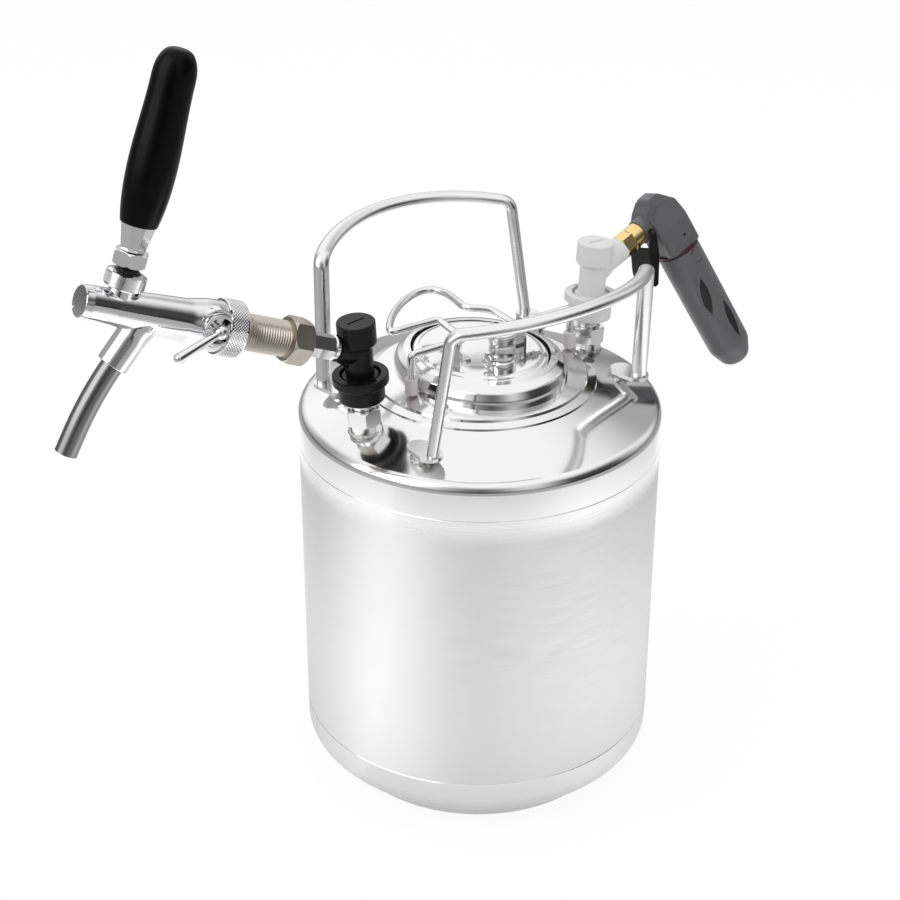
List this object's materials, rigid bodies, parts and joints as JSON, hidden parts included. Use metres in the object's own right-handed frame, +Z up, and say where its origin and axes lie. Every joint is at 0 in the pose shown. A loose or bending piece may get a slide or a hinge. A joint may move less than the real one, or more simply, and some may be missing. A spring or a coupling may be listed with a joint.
{
  "type": "pressurised mini keg beer dispenser with tap and gas charger",
  "caption": "Steel mini keg with oval bail hatch, carrying handles, swivelling lever tap with flow control, and a trigger gas charger on its gas post.",
  "frame": {"origin": "centre of the foot ring's underside, on the keg's axis", "axes": "+Z up the keg's axis; +X towards the gas post, -X towards the liquid post and the tap; the handles at +Y and -Y"},
  "size_m": [0.5218, 0.246, 0.5555],
  "materials": {
    "satin_steel": "circumferential satin finish",
    "polished_steel": "mirror polished",
    "tap_chrome": "polished",
    "warm_nickel": "satin, slightly warm",
    "black_nylon": "moulded, low sheen",
    "grey_nylon": "moulded, low sheen",
    "black_gloss": "polished black",
    "brass": "machined",
    "charger_metal": "satin dark grey",
    "charger_sleeve": "satin dark grey",
    "trigger_black": "satin black",
    "cartridge_steel": "plain",
    "black_rubber": "matte",
    "seal_rubber": "matte, dark red",
    "button_red": "glossy",
    "foot_rubber": "matte"
  },
  "bodies": {
    "keg": {"keg_wall": "satin_steel", "top_dome": "polished_steel", "bottom_head": "polished_steel", "foot_ring": "polished_steel", "hatch_collar": "polished_steel", "lid": "polished_steel", "lid_gasket": "black_rubber", "lid_lugs": "polished_steel", "relief_valve_body": "polished_steel", "relief_valve_spring": "polished_steel", "front_handle": "polished_steel", "rear_handle": "polished_steel", "handle_studs": "polished_steel", "liquid_post": "polished_steel", "gas_post": "polished_steel", "post_seals": "black_rubber", "liquid_dip_tube": "polished_steel", "gas_dip_tube": "polished_steel"},
    "relief_valve": {"relief_valve_stem": "polished_steel"},
    "pull_ring": {"relief_pull_ring": "polished_steel"},
    "bail": {"bail_wire": "polished_steel", "bail_feet": "foot_rubber"},
    "liquid_valve": {"liquid_poppet": "polished_steel"},
    "gas_valve": {"gas_poppet": "polished_steel"},
    "tap": {"liquid_disconnect_body": "black_nylon", "liquid_disconnect_cap": "black_nylon", "liquid_disconnect_pin": "black_nylon", "liquid_locking_balls": "polished_steel", "swivel_nut": "tap_chrome", "tap_shank": "warm_nickel", "coupling_nut": "warm_nickel", "faucet_body": "tap_chrome", "front_plug": "tap_chrome", "bonnet": "tap_chrome", "spout_tube": "polished_steel"},
    "liquid_collar": {"liquid_disconnect_collar": "black_nylon"},
    "tap_handle": {"tap_lever": "tap_chrome", "lever_ball": "black_gloss", "handle_lock_nut": "tap_chrome", "handle_ferrule": "tap_chrome", "tap_grip": "black_gloss"},
    "tap_spool": {"tap_shaft": "tap_chrome", "seat_seal": "black_rubber"},
    "flow_control": {"flow_lever": "tap_chrome"},
    "compensator": {"flow_compensator": "tap_chrome"},
    "gas_coupler": {"gas_disconnect_body": "grey_nylon", "gas_disconnect_cap": "grey_nylon", "gas_disconnect_pin": "grey_nylon", "gas_locking_balls": "polished_steel"},
    "gas_collar": {"gas_disconnect_collar": "grey_nylon"},
    "charger": {"brass_nut": "brass", "charger_head": "charger_metal", "trigger_pins": "tap_chrome", "seal_ring": "seal_rubber"},
    "charger_trigger": {"trigger": "trigger_black"},
    "button": {"safety_button": "button_red"},
    "cartridge": {"co2_cartridge": "cartridge_steel"},
    "sleeve": {"cartridge_sleeve": "charger_sleeve", "sleeve_inserts": "black_rubber"}
  },
  "joints": [
    {"name": "relief_lift", "type": "slide", "parent": "keg", "child": "relief_valve", "axis": [0, 0, 1], "range_m": [0, 0.003], "stiffness_N_per_m": 2500, "springref_m": -0.004, "deforming": ["relief_valve_spring"]},
    {"name": "pull_ring_swing", "type": "hinge", "parent": "relief_valve", "child": "pull_ring", "pos_m": [-0.01877, -0.02952, 0.3242], "axis": [0.0785, 0.9969, 0], "range_deg": [0, 85]},
    {"name": "bail_swing", "type": "hinge", "parent": "keg", "child": "bail", "pos_m": [-0.00055, -0.00698, 0.327], "axis": [0.9969, -0.0785, 0], "range_deg": [0, 95]},
    {"name": "liquid_valve_slide", "type": "slide", "parent": "keg", "child": "liquid_valve", "axis": [-0.0725, 0, 0.9974], "range_m": [-0.0015, 0], "stiffness_N_per_m": 900, "springref_m": 0.003},
    {"name": "gas_valve_slide", "type": "slide", "parent": "keg", "child": "gas_valve", "axis": [0.0725, 0, 0.9974], "range_m": [-0.0015, 0], "stiffness_N_per_m": 900, "springref_m": 0.003},
    {"name": "tap_swivel", "type": "hinge", "parent": "keg", "child": "tap", "pos_m": [-0.0976, 0, 0.284], "axis": [-0.0725, 0, 0.9974], "range_deg": [-40, 40]},
    {"name": "liquid_collar_slide", "type": "slide", "parent": "tap", "child": "liquid_collar", "axis": [-0.0725, 0, 0.9974], "range_m": [0, 0.004], "stiffness_N_per_m": 1000, "springref_m": -0.005},
    {"name": "tap_handle_pull", "type": "hinge", "parent": "tap", "child": "tap_handle", "pos_m": [-0.25062, 0.02401, 0.42384], "axis": [-0.1592, -0.9872, 0], "range_deg": [0, 20]},
    {"name": "tap_spool_slide", "type": "slide", "parent": "tap", "child": "tap_spool", "axis": [0.9096, -0.1467, -0.3888], "range_m": [0, 0.0061]},
    {"name": "flow_lever_turn", "type": "hinge", "parent": "tap", "child": "flow_control", "pos_m": [-0.20101, 0.01601, 0.38526], "axis": [-0.1592, -0.9872, 0], "range_deg": [-40, 40]},
    {"name": "compensator_slide", "type": "slide", "parent": "tap", "child": "compensator", "axis": [-0.9096, 0.1467, 0.3888], "range_m": [-0.00197, 0.00197]},
    {"name": "gas_swivel", "type": "hinge", "parent": "keg", "child": "gas_coupler", "pos_m": [0.0976, 0, 0.284], "axis": [0.0725, 0, 0.9974], "range_deg": [-45, 45]},
    {"name": "gas_collar_slide", "type": "slide", "parent": "gas_coupler", "child": "gas_collar", "axis": [0.0725, 0, 0.9974], "range_m": [0, 0.004], "stiffness_N_per_m": 1000, "springref_m": -0.005},
    {"name": "charger_turn", "type": "hinge", "parent": "gas_coupler", "child": "charger", "pos_m": [0.10172, 0, 0.34065], "axis": [0.9212, 0, 0.3891], "range_deg": [-60, 60]},
    {"name": "trigger_squeeze", "type": "hinge", "parent": "charger", "child": "charger_trigger", "pos_m": [0.14824, -0.00049, 0.35876], "axis": [0.126, 0.9461, -0.2984], "range_deg": [-15, 0], "stiffness_Nm_per_rad": 0.3, "springref_deg": 20.05},
    {"name": "button_push", "type": "slide", "parent": "charger", "child": "button", "axis": [-0.9212, 0, -0.3891], "range_m": [0, 0.002], "stiffness_N_per_m": 900, "springref_m": -0.003},
    {"name": "cartridge_travel", "type": "slide", "parent": "charger", "child": "cartridge", "axis": [0.3681, -0.3239, -0.8715], "range_m": [0, 0.0066]},
    {"name": "sleeve_screw", "type": "hinge", "parent": "cartridge", "child": "sleeve", "pos_m": [0.1639, 0, 0.36692], "axis": [0.3681, -0.3239, -0.8715], "range_deg": [0, 1590]}
  ],
  "couplings": [
    {"joint": "tap_spool_slide", "follows": "tap_handle_pull", "m_per_rad": 0.01734},
    {"joint": "compensator_slide", "follows": "flow_lever_turn", "m_per_rad": -0.0028},
    {"joint": "sleeve_screw", "follows": "cartridge_travel", "rad_per_m": 4188.8}
  ]
}
